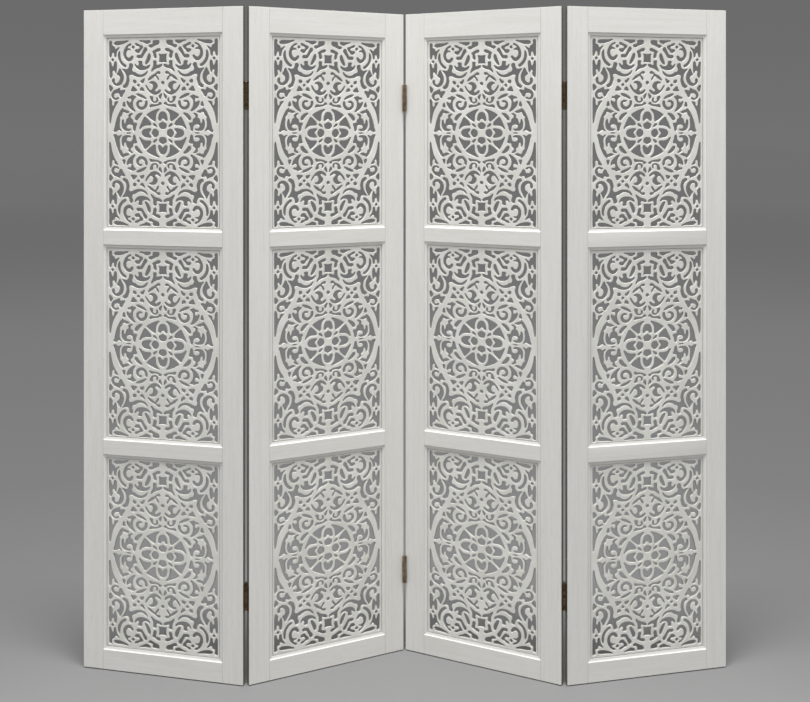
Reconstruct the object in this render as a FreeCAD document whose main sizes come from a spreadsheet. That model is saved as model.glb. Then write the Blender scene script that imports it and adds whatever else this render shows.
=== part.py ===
import FreeCAD, Part
import math
import os
import Sketcher

# Four-panel folding screen of painted wood with carved jali fretwork, standing in a zigzag.
# World frame: +Z up, origin on the floor below the middle of the whole screen, Y across its depth.
# Each panel has a frame of its own: x from its left edge, y from its front face back, z up.

doc = FreeCAD.newDocument("jaliScreen")
sheet = doc.addObject("Spreadsheet::Sheet", "Sizes")

# Driving dimensions, in millimetres, and the fold angles in degrees
sizes = {
    "panelHeight": 1829,
    "panelWidth": 472,
    "panelThick": 16,
    "stileFace": 59,         # flat face of a stile, outside its moulding
    "topRailFace": 68.5,
    "midRailFace": 39,
    "bottomRailFace": 56,
    "mouldWidth": 9,         # sloped moulding round each opening
    "mouldDepth": 3.3,
    "grooveDepth": 6,        # groove that holds the fretwork
    "grilleThick": 7,
    "grilleFit": 0.1,        # clearance each side of the fretwork in its groove
    "grilleEdgeGap": 0.5,    # room for the fretwork at the bottom of the groove
    "grilleBorder": 8,       # plain border between the moulding and the first holes
    "holeGrowth": 1.5,       # how far each hole is cut past the outline drawn for it
    "upperFieldDrop": 2,     # carved field of a fretwork, below the middle of its opening
    "middleFieldDrop": 2.5,
    "lowerFieldDrop": -1,
    "hingeLength": 76,
    "hingeDrop": 240,        # top of the panel to the middle of the upper hinge
    "hingeRise": 235,        # floor to the middle of the lower hinge
    "hingeProud": 6,         # hinge axis beyond the face of the panels
    "seamGap": 0.6,          # between two panels that stand in line
    "barrelDiameter": 11.6,
    "pinDiameter": 4,
    "pinFit": 0.04,          # least running clearance round the pin
    "pinProud": 1.2,         # pin end beyond the barrel
    "plateThick": 1.8,
    "plateReach": 14,        # hinge plate, from the panel face across its edge
    "plateFit": 0.1,         # clearance round a plate in its mortise
    "knuckleGap": 0.3,
    "outerFold": 42,         # turn between panels 1 and 2, and between 3 and 4
    "centreFold": 56,        # turn between panels 2 and 3
    "overrun": 1,            # how far a bore's cutter passes the metal
}
for row, (alias, value) in enumerate(sizes.items(), start=1):
    sheet.set(f"A{row}", alias)
    sheet.set(f"B{row}", str(value))
    sheet.setAlias(f"B{row}", alias)
doc.recompute()


def size(name):
    return float(sheet.get(name))


panelHeight, panelWidth, panelThick = size("panelHeight"), size("panelWidth"), size("panelThick")
hingeLength, hingeProud, seamGap = size("hingeLength"), size("hingeProud"), size("seamGap")
outerFold, centreFold = size("outerFold"), size("centreFold")
up = FreeCAD.Vector(0, 0, 1)
halfTurn = 180

# The heights of the openings and rails follow from the four rail faces
openingCount = 3
railFaces = size("topRailFace") + size("bottomRailFace") + (openingCount - 1) * size("midRailFace")
openingHeight = (panelHeight - railFaces) / openingCount


# The panels' places in the zigzag

def panelAt(joint, jointPlace, yaw):
    # the panel turned by yaw about +Z whose own point joint lies at jointPlace
    turn = FreeCAD.Rotation(up, yaw)
    return FreeCAD.Placement(jointPlace - turn.multVec(joint), turn)


leftBack = FreeCAD.Vector(-seamGap / 2, panelThick + hingeProud, 0)
leftFront = FreeCAD.Vector(-seamGap / 2, -hingeProud, 0)
rightBack = FreeCAD.Vector(panelWidth + seamGap / 2, panelThick + hingeProud, 0)
rightFront = FreeCAD.Vector(panelWidth + seamGap / 2, -hingeProud, 0)
innerYaw = centreFold / 2
outerYaw = innerYaw - outerFold


def zigzag(centreAxis):
    second = panelAt(rightFront, centreAxis, innerYaw)
    first = panelAt(rightBack, second.multVec(leftBack), outerYaw)
    third = panelAt(leftFront, centreAxis, -innerYaw)
    fourth = panelAt(leftBack, third.multVec(rightBack), -outerYaw)
    return [first, second, third, fourth]


# The screen's middle in depth is halfway between its nearest and farthest panel corners
panelCorners = [FreeCAD.Vector(x, y, 0) for x in (0, panelWidth) for y in (0, panelThick)]
depths = [place.multVec(corner).y for place in zigzag(FreeCAD.Vector()) for corner in panelCorners]
centreAxis = FreeCAD.Vector(0, -(min(depths) + max(depths)) / 2, 0)
panelPlaces = zigzag(centreAxis)
print("seam axes", [list(p) for p in (panelPlaces[1].multVec(leftBack), centreAxis, panelPlaces[2].multVec(rightBack))])

# Sketches whose corners follow the sheet

thick, half = "Sizes.panelThick", "Sizes.panelThick / 2"
grooveFront = f"{half} - Sizes.grilleThick / 2 - Sizes.grilleFit"
grooveBack = f"{half} + Sizes.grilleThick / 2 + Sizes.grilleFit"
stileEdge = "Sizes.stileFace + Sizes.mouldWidth"
backSlope = "Sizes.panelThick - Sizes.mouldDepth"


def planeOf(body, role):
    return next(f for f in body.Origin.OriginFeatures if f.Role == role)


def sketchOf(body, role, outlines):
    # closed outlines, each a list of corners given as two expressions
    sketch = body.newObject("Sketcher::SketchObject", "Sketch")
    sketch.AttachmentSupport = (planeOf(body, role), [""])
    sketch.MapMode = "FlatFace"
    lines, rules, texts = [], [], []
    for outline in outlines:
        first, count = len(lines), len(outline)
        places = [FreeCAD.Vector(*[float(sheet.evalExpression(t)) for t in corner]) for corner in outline]
        for i, corner in enumerate(outline):
            following = (i + 1) % count
            lines.append(Part.LineSegment(places[i], places[following]))
            rules.append(Sketcher.Constraint("Coincident", first + i, 2, first + following, 1))
            for kind, text, place in zip(("DistanceX", "DistanceY"), corner, places[i]):
                texts.append((len(rules), text))
                rules.append(Sketcher.Constraint(kind, -1, 1, first + i, 1, place))
    sketch.addGeometry(lines)
    sketch.addConstraint(rules)
    for index, text in texts:
        sketch.setExpression(f"Constraints[{index}]", text)
    return sketch


def padOf(body, sketch, length):
    pad = body.newObject("PartDesign::Pad", "Pad")
    pad.Profile = sketch
    pad.setExpression("Length", length)
    return pad


def pocketOf(body, sketch, depth=None):
    # a cut along +X to a depth, or through all both ways
    pocket = body.newObject("PartDesign::Pocket", "Pocket")
    pocket.Profile = sketch
    if depth:
        pocket.Reversed = True
        pocket.setExpression("Length", depth)
    else:
        pocket.Type = "ThroughAll"
        pocket.Midplane = True
    return pocket


def rectangle(x0, y0, x1, y1):
    return [(x0, y0), (x1, y0), (x1, y1), (x0, y1)]


# Stiles: one moulded and grooved section over the full height, with mortises for the hinges

stileSection = [("0", "0"), ("Sizes.stileFace", "0"), (stileEdge, "Sizes.mouldDepth"), (stileEdge, grooveFront),
                (f"{stileEdge} - Sizes.grooveDepth", grooveFront), (f"{stileEdge} - Sizes.grooveDepth", grooveBack),
                (stileEdge, grooveBack), (stileEdge, backSlope), ("Sizes.stileFace", thick), ("0", thick)]
hingeHeights = {"upper": "Sizes.panelHeight - Sizes.hingeDrop", "lower": "Sizes.hingeRise"}


def stile(label, place, hingeSide):
    # hingeSide is front, back or none, in the stile's own frame, whose x starts at the outer edge
    body = doc.addObject("PartDesign::Body", label)
    padOf(body, sketchOf(body, "XY_Plane", [stileSection]), "Sizes.panelHeight")
    if hingeSide != "none":
        reach = "Sizes.plateReach + Sizes.plateFit"
        near, far = ("0", reach) if hingeSide == "front" else (f"{thick} - {reach.replace('+', '-')}", thick)
        room = "(Sizes.hingeLength / 2 + Sizes.plateFit)"
        mortises = [rectangle(near, f"{z} - {room}", far, f"{z} + {room}") for z in hingeHeights.values()]
        pocketOf(body, sketchOf(body, "YZ_Plane", mortises), "Sizes.plateThick")
    body.Placement = place
    return body


# Rails: the plan is coped over the stiles' mouldings, with a stub tenon in each groove

farFace, farEdge = "(Sizes.panelWidth - Sizes.stileFace)", f"(Sizes.panelWidth - ({stileEdge}))"
tenonFront, tenonBack = f"{half} - Sizes.grilleThick / 2", f"{half} + Sizes.grilleThick / 2"
tenonReach = "(Sizes.grooveDepth - Sizes.grilleEdgeGap)"
nearTenon, farTenon = f"{stileEdge} - {tenonReach}", f"{farEdge} + {tenonReach}"
railPlan = [("Sizes.stileFace", "0"), (farFace, "0"), (farEdge, "Sizes.mouldDepth"), (farEdge, tenonFront),
            (farTenon, tenonFront), (farTenon, tenonBack), (farEdge, tenonBack), (farEdge, backSlope),
            (farFace, thick), ("Sizes.stileFace", thick), (stileEdge, backSlope), (stileEdge, tenonBack),
            (nearTenon, tenonBack), (nearTenon, tenonFront), (stileEdge, tenonFront), (stileEdge, "Sizes.mouldDepth")]


def edgeCuts(edge, inward):
    # the two slopes and the groove cut into a rail's long edge at height edge
    slope, groove = f"{edge} {inward} Sizes.mouldWidth", f"{edge} {inward} Sizes.grooveDepth"
    return [[("0", edge), ("Sizes.mouldDepth", edge), ("0", slope)],
            [(thick, edge), (thick, slope), (backSlope, edge)],
            rectangle(grooveFront, edge, grooveBack, groove)]


def rail(label, place, faceHeight, mouldedBelow, mouldedAbove):
    height = faceHeight + " + Sizes.mouldWidth" * (mouldedBelow + mouldedAbove)
    body = doc.addObject("PartDesign::Body", label)
    padOf(body, sketchOf(body, "XY_Plane", [railPlan]), height)
    cuts = []
    if mouldedBelow:
        cuts += edgeCuts("0", "+")
    if mouldedAbove:
        cuts += edgeCuts(f"({height})", "-")
    pocketOf(body, sketchOf(body, "YZ_Plane", cuts))
    body.Placement = place
    return body


# Fretwork: a plate with its holes given for one quarter and mirrored both ways. Each corner of a hole
# is its place across and up from the middle, as shares of half the carved field.

mouldWidth, grilleThick = size("mouldWidth"), size("grilleThick")
grilleHold = size("grooveDepth") - size("grilleEdgeGap")
halfOpenWidth = panelWidth / 2 - size("stileFace") - mouldWidth
halfOpenHeight = openingHeight / 2 - mouldWidth
fieldHalfWidth = halfOpenWidth - size("grilleBorder")
fieldHalfHeight = halfOpenHeight - size("grilleBorder")
holeGrowth = size("holeGrowth")
sharpCornerShare = 0.5
quarterTurn = 90

# holes clear of both middle lines, four of each
quarterHoleShares = [
    # beside the upright petal, inside the ring
    [(0.075, 0.251), (0.269, 0.196), (0.138, 0.133)],
    # beside the level petal, inside the ring
    [(0.331, 0.165), (0.425, 0.051), (0.225, 0.086)],
    # between the ring and the side arc
    [(0.912, 0.02), (0.762, 0.243), (0.612, 0.212), (0.525, 0.02)],
    # eye of the scroll
    [(0.406, 0.361), (0.506, 0.302), (0.4, 0.247), (0.3, 0.306)],
    # between the scroll and the side arc
    [(0.675, 0.33), (0.6, 0.4), (0.525, 0.385), (0.6, 0.298)],
    # comma inside the pointed circle
    [(0.312, 0.498), (0.169, 0.424), (0.056, 0.463), (0.138, 0.545)],
    # outside the side arc, below the corner circle
    [(0.744, 0.699), (0.606, 0.746), (0.512, 0.651), (0.712, 0.479)],
    # eye of the corner circle
    [(0.625, 0.958), (0.738, 0.867), (0.65, 0.789), (0.575, 0.832)],
    # sliver between the side arc and the border
    [(0.99, 0.361), (0.862, 0.33), (0.99, 0.11)],
]
# holes on the upright middle line, given by their right half from below, two of each
uprightHoleShares = [
    # petal eye
    [(0, 0.055), (0.058, 0.157), (0, 0.224)],
    # square near the top
    [(0.056, 0.77), (0.056, 0.84)],
]
# holes on the level middle line, given by their upper half from the middle outwards, two of each
levelHoleShares = [
    # petal eye
    [(0.088, 0), (0.262, 0.035), (0.356, 0)],
]


def mirrored(hole, across, upward):
    return [(x * across, z * upward) for x, z in hole]


def doubled(hole, across, upward):
    # a half outline joined to its mirror image; corners on the line itself aren't repeated
    image = [corner for corner in mirrored(hole, across, upward) if corner not in hole]
    return hole + image[::-1]


def placesOf(corners, halfWidth, halfHeight, drop=0):
    # corners are shares of half a width and half a height
    return [FreeCAD.Vector(x * halfWidth, 0, z * halfHeight - drop) for x, z in corners]


def opened(places, amount):
    # a hole with each side moved out by amount, and no corner moved by more than twice that
    area = sum(a.x * b.z - b.x * a.z for a, b in zip(places, places[1:] + places[:1]))
    outside = FreeCAD.Rotation(FreeCAD.Vector(0, 1, 0), math.copysign(quarterTurn, area))
    wider = []
    for before, corner, after in zip(places[-1:] + places, places, places[1:] + places[:1]):
        first = outside.multVec((corner - before).normalize())
        second = outside.multVec((after - corner).normalize())
        wider.append(corner + (first + second) * (amount / max(1 + first.dot(second), sharpCornerShare)))
    return wider


def closedWire(places):
    return Part.makePolygon(places + places[:1])


def fretworkShape(fieldDrop):
    # centred on the opening in x and z, with its front face at y = 0
    holes = [mirrored(hole, a, b) for hole in quarterHoleShares for a in (1, -1) for b in (1, -1)]
    holes += [mirrored(doubled(hole, -1, 1), 1, b) for hole in uprightHoleShares for b in (1, -1)]
    holes += [mirrored(doubled(hole, 1, -1), a, 1) for hole in levelHoleShares for a in (1, -1)]
    corners = [(-1, -1), (1, -1), (1, 1), (-1, 1)]
    border = closedWire(placesOf(corners, halfOpenWidth + grilleHold, halfOpenHeight + grilleHold))
    outlines = [placesOf(hole, fieldHalfWidth, fieldHalfHeight, fieldDrop) for hole in holes]
    openings = [closedWire(opened(outline, holeGrowth)) for outline in outlines]
    face = Part.makeFace([border] + openings, "Part::FaceMakerBullseye")
    return face.extrude(FreeCAD.Vector(0, grilleThick, 0))


# The three boards of a panel from the floor up differ only in how high their carved field sits
levels = ["lower", "middle", "upper"]
carved = {level: fretworkShape(size(f"{level}FieldDrop")) for level in levels}


def fretwork(label, place, level):
    body = doc.addObject("Part::Feature", label)
    body.Shape = carved[level]
    body.Placement = place
    return body


# Hinges: two plates with interlocking knuckles and a pin. A hinge half's own frame starts on the
# axis at the foot of the barrel, x towards the plate's stile and y across the panel's edge.

knuckleCount = 3
barrelSides = 14     # flats round a barrel and its bore
knucklePitch = f"(Sizes.hingeLength + Sizes.knuckleGap) / {knuckleCount}"


def hingeHalf(label, place, knuckles):
    plate = doc.addObject("Part::Box", "Plate")
    bindAll(plate, {"Length": "Sizes.plateThick", "Width": "Sizes.plateReach", "Height": "Sizes.hingeLength",
                    "Placement.Base.x": "Sizes.seamGap / 2", "Placement.Base.y": "Sizes.hingeProud"})
    pieces = [plate]
    for k in knuckles:
        foot, height = f"{k} * {knucklePitch}", f"{knucklePitch} - Sizes.knuckleGap"
        leg = doc.addObject("Part::Box", "Leg")
        bindAll(leg, {"Length": "Sizes.plateThick", "Width": "Sizes.hingeProud", "Height": height,
                      "Placement.Base.x": "Sizes.seamGap / 2", "Placement.Base.z": foot})
        knuckle = doc.addObject("Part::Prism", "Knuckle")
        knuckle.Polygon = barrelSides
        bindAll(knuckle, {"Circumradius": "Sizes.barrelDiameter / 2", "Height": height,
                          "Placement.Base.z": foot})
        pieces += [leg, knuckle]
    metal = doc.addObject("Part::MultiFuse", "Metal")
    metal.Shapes = pieces
    metal.Refine = True
    bore = doc.addObject("Part::Prism", "Bore")
    bore.Polygon = barrelSides
    bindAll(bore, {"Circumradius": f"(Sizes.pinDiameter / 2 + Sizes.pinFit) / cos({halfTurn / barrelSides} deg)",
                   "Height": "Sizes.hingeLength + 2 * Sizes.overrun", "Placement.Base.z": "-Sizes.overrun"})
    body = doc.addObject("Part::Cut", label)
    body.Base, body.Tool = metal, bore
    body.Placement = place
    return body


def hingePin(label, place):
    body = doc.addObject("Part::Cylinder", label)
    bindAll(body, {"Radius": "Sizes.pinDiameter / 2", "Height": "Sizes.hingeLength + 2 * Sizes.pinProud"})
    body.Placement = place.multiply(FreeCAD.Placement(-up * size("pinProud"), FreeCAD.Rotation()))
    return body


def bindAll(target, formulas):
    for name, formula in formulas.items():
        target.setExpression(name, formula)


# The assembly

subParts = []
railSteps = [("bottom_rail", "Sizes.bottomRailFace", False, True), ("lower_mid_rail", "Sizes.midRailFace", True, True),
             ("upper_mid_rail", "Sizes.midRailFace", True, True), ("top_rail", "Sizes.topRailFace", True, False)]
# the side of each stile's own frame that carries the hinge plates, left and right stile of each panel
stileHinges = [("none", "front"), ("back", "back"), ("front", "front"), ("back", "none")]


def moved(place, x, y, z, turn=FreeCAD.Rotation()):
    return place.multiply(FreeCAD.Placement(FreeCAD.Vector(x, y, z), turn))


for number, (place, hingeSides) in enumerate(zip(panelPlaces, stileHinges), start=1):
    name = f"panel_{number}"
    subParts.append(stile(f"{name}_left_stile", place, hingeSides[0]))
    turned = moved(place, panelWidth, panelThick, 0, FreeCAD.Rotation(up, halfTurn))
    subParts.append(stile(f"{name}_right_stile", turned, hingeSides[1]))
    height = 0
    for step, (railName, face, below, above) in enumerate(railSteps):
        foot = height - mouldWidth * below
        subParts.append(rail(f"{name}_{railName}", moved(place, 0, 0, foot), face, below, above))
        height += float(sheet.evalExpression(face))
        if step < openingCount:
            middle = moved(place, panelWidth / 2, (panelThick - grilleThick) / 2, height + openingHeight / 2)
            subParts.append(fretwork(f"{name}_{levels[step]}_fretwork", middle, levels[step]))
            height += openingHeight

# Each seam: panel on its left, hinge axis in that panel's frame and whether the barrels are in front
seams = [(0, rightBack, False), (1, rightFront, True), (2, rightBack, False)]
aboutX, aboutY = FreeCAD.Rotation(FreeCAD.Vector(1, 0, 0), halfTurn), FreeCAD.Rotation(FreeCAD.Vector(0, 1, 0), halfTurn)
aboutZ, unturned = FreeCAD.Rotation(up, halfTurn), FreeCAD.Rotation()
for number, (left, axis, inFront) in enumerate(seams, start=1):
    leftTurn, rightTurn = (aboutY, unturned) if inFront else (aboutZ, aboutX)
    rightAxis = leftFront if inFront else leftBack
    for level, formula in hingeHeights.items():
        foot = float(sheet.evalExpression(formula)) - hingeLength / 2
        name = f"seam_{number}_{level}_hinge"
        leftFoot = foot + hingeLength * inFront
        rightFoot = foot + hingeLength * (not inFront)
        leftPlace = moved(panelPlaces[left], axis.x, axis.y, leftFoot, leftTurn)
        rightPlace = moved(panelPlaces[left + 1], rightAxis.x, rightAxis.y, rightFoot, rightTurn)
        subParts.append(hingeHalf(f"{name}_left_plate", leftPlace, range(0, knuckleCount, 2)))
        subParts.append(hingeHalf(f"{name}_right_plate", rightPlace, range(1, knuckleCount, 2)))
        subParts.append(hingePin(f"{name}_pin", moved(panelPlaces[left], axis.x, axis.y, foot)))

doc.recompute()

# Checks, then one file for each sub-part

for item in doc.Objects:
    for state in ("Invalid", "Error"):
        if state in item.State:
            raise RuntimeError(f"{item.Label} is {state}")
os.makedirs("parts", exist_ok=True)
for body in subParts:
    if body.Shape.isNull() or not body.Shape.isValid():
        raise RuntimeError(f"{body.Label} has no valid shape")
    body.Shape.exportStep(f"parts/{body.Label}.step")
print(len(subParts), "sub-parts,", sum(len(body.Shape.Solids) for body in subParts), "solids")
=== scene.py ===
import math
from contextlib import contextmanager
import bmesh
import bpy
from mathutils import Matrix, Vector


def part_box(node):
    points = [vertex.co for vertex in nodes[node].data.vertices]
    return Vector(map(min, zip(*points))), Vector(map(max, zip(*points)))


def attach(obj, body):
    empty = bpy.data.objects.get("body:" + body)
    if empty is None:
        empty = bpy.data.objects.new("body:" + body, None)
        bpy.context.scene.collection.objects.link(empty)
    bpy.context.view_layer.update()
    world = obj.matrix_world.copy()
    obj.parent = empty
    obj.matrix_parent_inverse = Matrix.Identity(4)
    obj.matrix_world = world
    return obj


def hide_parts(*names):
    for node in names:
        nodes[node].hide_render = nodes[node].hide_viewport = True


# Four-panel folding screen of white-painted wood with carved jali fretwork, dressed round its frame.
# Sizes here are in millimetres and turned to metres where they are used.

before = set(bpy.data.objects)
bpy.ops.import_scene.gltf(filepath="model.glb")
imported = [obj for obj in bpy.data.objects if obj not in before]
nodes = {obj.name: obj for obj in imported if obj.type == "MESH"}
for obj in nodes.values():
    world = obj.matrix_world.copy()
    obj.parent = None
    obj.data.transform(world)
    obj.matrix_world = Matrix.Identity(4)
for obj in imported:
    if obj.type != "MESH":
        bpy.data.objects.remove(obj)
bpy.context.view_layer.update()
mm = 0.001
same = 0.01 * mm      # places closer than this count as one
merging = 0.002 * mm  # corners of loose triangles closer than this are made one
panelNumbers = (1, 2, 3, 4)
seamNumbers = (1, 2, 3)
print("frame loaded,", len(nodes), "nodes")


# Camera: level, with the lens shifted down as in the photograph, whose frame is 810 by 702 pixels

cameraView = {"place": (-28.45, -3284.5, 1479.8), "focalPixels": 1177.9, "widthPixels": 810,
              "heightPixels": 702, "centreAcross": 394.66, "horizon": 135.94, "sensor": 36}


def makeCamera(view):
    data = bpy.data.cameras.new("camera")
    data.sensor_width = view["sensor"]
    data.lens = view["focalPixels"] / view["widthPixels"] * view["sensor"]
    data.shift_x = (view["widthPixels"] / 2 - view["centreAcross"]) / view["widthPixels"]
    data.shift_y = (view["horizon"] - view["heightPixels"] / 2) / view["widthPixels"]
    camera = bpy.data.objects.new("camera", data)
    bpy.context.scene.collection.objects.link(camera)
    camera.location = Vector(view["place"]) * mm
    camera.rotation_euler = (math.radians(90), 0, 0)
    bpy.context.scene.camera = camera


makeCamera(cameraView)


# Materials

def linear(text):
    # an sRGB hex colour as Blender's linear values
    values = [int(text[i:i + 2], 16) / 255 for i in (0, 2, 4)]
    return tuple(v / 12.92 if v <= 0.04045 else ((v + 0.055) / 1.055) ** 2.4 for v in values) + (1,)


def addNode(tree, kind, links=(), stops=(), **settings):
    # settings name the node's own properties, or its inputs by their number as in0, in1; the stops are
    # a colour ramp's places and colours, in order
    node = tree.nodes.new(kind)
    for name, value in settings.items():
        if name.startswith("in") and name[2:].isdigit():
            node.inputs[int(name[2:])].default_value = value
        else:
            setattr(node, name, value)
    for number, (position, colour) in enumerate(stops):
        ramp = node.color_ramp.elements
        stop = ramp[number] if number < len(ramp) else ramp.new(position)
        stop.position, stop.color = position, colour
    for source, target in links:
        tree.links.new(source, node.inputs[target])
    return node


def newMaterial(name, **sockets):
    material = bpy.data.materials.new(name)
    material.use_nodes = True
    shader = material.node_tree.nodes["Principled BSDF"]
    for socket, value in sockets.items():
        shader.inputs[socket.replace("_", " ")].default_value = value
    return material, material.node_tree, shader


def feed(tree, shader, **sources):
    for socket, source in sources.items():
        tree.links.new(source, shader.inputs[socket.replace("_", " ")])


# Satin alkyd paint brushed over open-pored ash. The paint sinks into the pores, so the eye sees short
# grey dashes along the grain, broad pale bands, and a soft sheen broken by both.
paint = {"light": "E3E2DE", "dark": "DEDDD8", "pore": "C9C8C3", "roughness": 0.5, "poreWidth": 1.6,
         "poreLength": 30, "poreDepth": 0.08, "poreShare": 0.3, "poreEdges": (0.34, 0.47), "bandWidth": 9,
         "bandLength": 200, "bandEdges": (0.3, 0.62), "relief": 0.35}


def paintedWood(name, grainAxes):
    material, tree, shader = newMaterial(name, Roughness=paint["roughness"], IOR=1.5)
    place = addNode(tree, "ShaderNodeTexCoord")

    def drawnOut(width, length, shift, detail, roughness):
        # noise drawn out along the grain, so that one unit of it is a pore or a band
        scale = [1 / ((length if axis in grainAxes else width) * mm) for axis in range(3)]
        drawn = addNode(tree, "ShaderNodeMapping", [(place.outputs["Object"], 0)], in1=(shift,) * 3,
                        in3=scale)
        return addNode(tree, "ShaderNodeTexNoise", [(drawn.outputs[0], 0)], in2=1.0, in3=detail,
                       in4=roughness).outputs[0]

    pores = drawnOut(paint["poreWidth"], paint["poreLength"], shift=3, detail=3.0, roughness=0.6)
    bands = drawnOut(paint["bandWidth"], paint["bandLength"], shift=7, detail=2.0, roughness=0.5)
    bandColour = addNode(tree, "ShaderNodeValToRGB", [(bands, 0)],
                         zip(paint["bandEdges"], (linear(paint["dark"]), linear(paint["light"]))))
    poreAmount = addNode(tree, "ShaderNodeValToRGB", [(pores, 0)],
                         zip(paint["poreEdges"], ((paint["poreShare"],) * 3 + (1,), (0, 0, 0, 1))))
    colour = addNode(tree, "ShaderNodeMix", [(poreAmount.outputs[0], 0), (bandColour.outputs[0], 6)],
                     data_type="RGBA", in7=linear(paint["pore"]))
    relief = addNode(tree, "ShaderNodeBump", [(pores, "Height")], in0=paint["relief"],
                     in1=paint["poreDepth"] * mm)
    feed(tree, shader, Base_Color=colour.outputs[2], Normal=relief.outputs[0])
    return material


# The same satin paint sprayed on cut board, which has no grain: only a faint orange-peel ripple shows. The
# sawn walls of the holes get a greyer copy of it as painted shade, which gives the carving its depth.
boardPaint = {"light": "E4E3DE", "dark": "D9D8D2", "wallShadeLight": "ACABA5", "wallShadeDark": "A09F98",
              "roughness": 0.5, "cloudSize": 60, "cloudEdges": (0.35, 0.65), "peelSize": 2.5,
              "peelDepth": 0.04, "relief": 0.3}


def paintedBoard(name, dark, light):
    material, tree, shader = newMaterial(name, Roughness=boardPaint["roughness"], IOR=1.5)
    place = addNode(tree, "ShaderNodeTexCoord")
    clouds, peel = (addNode(tree, "ShaderNodeTexNoise", [(place.outputs["Object"], 0)],
                            in2=1 / (boardPaint[size] * mm), in3=2.0) for size in ("cloudSize", "peelSize"))
    colour = addNode(tree, "ShaderNodeValToRGB", [(clouds.outputs[0], 0)],
                     zip(boardPaint["cloudEdges"], (linear(dark), linear(light))))
    relief = addNode(tree, "ShaderNodeBump", [(peel.outputs[0], "Height")], in0=boardPaint["relief"],
                     in1=boardPaint["peelDepth"] * mm)
    feed(tree, shader, Base_Color=colour.outputs[0], Normal=relief.outputs[0])
    return material


# Steel hinges with an antique bronze plating: a dull brown oxide where it is thick, pale bare metal where
# handling has rubbed it, with the low broken sheen of a brushed and lacquered metal
bronze = {"dark": "544431", "rubbed": "A39174", "patchSize": 9, "patchEdges": (0.38, 0.72),
          "roughness": 0.45, "oxideRougher": 0.12, "leastMetal": 0.35, "mostMetal": 0.9}


def agedBronze(name, shine):
    material, tree, shader = newMaterial(name)
    place = addNode(tree, "ShaderNodeTexCoord")
    patches = addNode(tree, "ShaderNodeTexNoise", [(place.outputs["Object"], 0)],
                      in2=1 / (bronze["patchSize"] * mm), in3=4.0, in4=0.6).outputs[0]
    colour = addNode(tree, "ShaderNodeValToRGB", [(patches, 0)],
                     zip(bronze["patchEdges"], (linear(bronze["dark"]), linear(bronze["rubbed"]))))
    gloss = addNode(tree, "ShaderNodeMapRange", [(patches, 0)],
                    in3=bronze["roughness"] + bronze["oxideRougher"], in4=bronze["roughness"] - shine)
    bare = addNode(tree, "ShaderNodeMapRange", [(patches, 0)], in1=bronze["patchEdges"][0],
                   in2=bronze["patchEdges"][1], in3=bronze["leastMetal"], in4=bronze["mostMetal"])
    feed(tree, shader, Base_Color=colour.outputs[0], Roughness=gloss.outputs[0], Metallic=bare.outputs[0])
    return material


# A dull grey-brown colour: on the edges that meet at a seam and in the feet's recesses it is painted shade,
# making the dark slit between two panels and the dark line under them; on the joints' edges it is a stain
edgeShadeAndStain = {"dark": "6F6D67", "light": "7F7D77", "roughness": 0.75, "grainWidth": 1.5, "grainLength": 30,
             "grainEdges": (0.35, 0.65)}


def shadeAndStainOnEdges(name):
    material, tree, shader = newMaterial(name, Roughness=edgeShadeAndStain["roughness"])
    place = addNode(tree, "ShaderNodeTexCoord")
    across, along = 1 / (edgeShadeAndStain["grainWidth"] * mm), 1 / (edgeShadeAndStain["grainLength"] * mm)
    drawn = addNode(tree, "ShaderNodeMapping", [(place.outputs["Object"], 0)], in3=(across, across, along))
    grain = addNode(tree, "ShaderNodeTexNoise", [(drawn.outputs[0], 0)], in2=1.0, in3=3.0)
    colour = addNode(tree, "ShaderNodeValToRGB", [(grain.outputs[0], 0)],
                     zip(edgeShadeAndStain["grainEdges"], (linear(edgeShadeAndStain["dark"]), linear(edgeShadeAndStain["light"]))))
    feed(tree, shader, Base_Color=colour.outputs[0])
    return material


stilePaint = paintedWood("satin_paint_on_upright_ash", (2,))
railPaint = paintedWood("satin_paint_on_level_ash", (0, 1))
fretPaint = paintedBoard("satin_paint_on_cut_board", boardPaint["dark"], boardPaint["light"])
# painted shade: the sawn walls' greyer paint stands in for the shade inside the holes
wallShadePaint = paintedBoard("soaked_paint_on_sawn_walls", boardPaint["wallShadeDark"], boardPaint["wallShadeLight"])
# painted shade at the seams and in the feet's recesses, a stain in the joints
edgeShadeAndStainPaint = shadeAndStainOnEdges("grey_brown_stain_on_edges")
hingeBronze = agedBronze("antique_bronze_plated_steel", 0.1)
pinBronze = agedBronze("rubbed_bronze_plated_steel", 0.2)
print("materials made")


# Helpers for meshes

def linked(name, mesh, material=None):
    # a mesh that has its materials already is given none
    piece = bpy.data.objects.new(name, mesh)
    bpy.context.scene.collection.objects.link(piece)
    if material:
        mesh.materials.clear()
        mesh.materials.append(material)
    return piece


def evaluated(piece):
    graph = bpy.context.evaluated_depsgraph_get()
    return bpy.data.meshes.new_from_object(piece.evaluated_get(graph))


def baked(piece):
    # the evaluated mesh in place of the modifiers
    mesh = evaluated(piece)
    piece.modifiers.clear()
    old, piece.data = piece.data, mesh
    mesh.name = piece.name
    if old.users == 0:
        bpy.data.meshes.remove(old)


def dropEmptySlots(mesh):
    for index in reversed(range(len(mesh.materials))):
        if mesh.materials[index] is None:
            mesh.materials.pop(index=index)


@contextmanager
def editing(mesh, place=None):
    # the mesh to work on, in a panel's own frame where one is given, and written back at the end
    work = bmesh.new()
    if place is not None:
        mesh.transform(place.inverted())
    work.from_mesh(mesh)
    yield work
    work.to_mesh(mesh)
    work.free()
    if place is not None:
        mesh.transform(place)


def outward(mesh, mergeDistance=None):
    with editing(mesh) as work:
        if mergeDistance:
            bmesh.ops.remove_doubles(work, verts=work.verts, dist=mergeDistance)
        bmesh.ops.recalc_face_normals(work, faces=work.faces)


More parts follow.
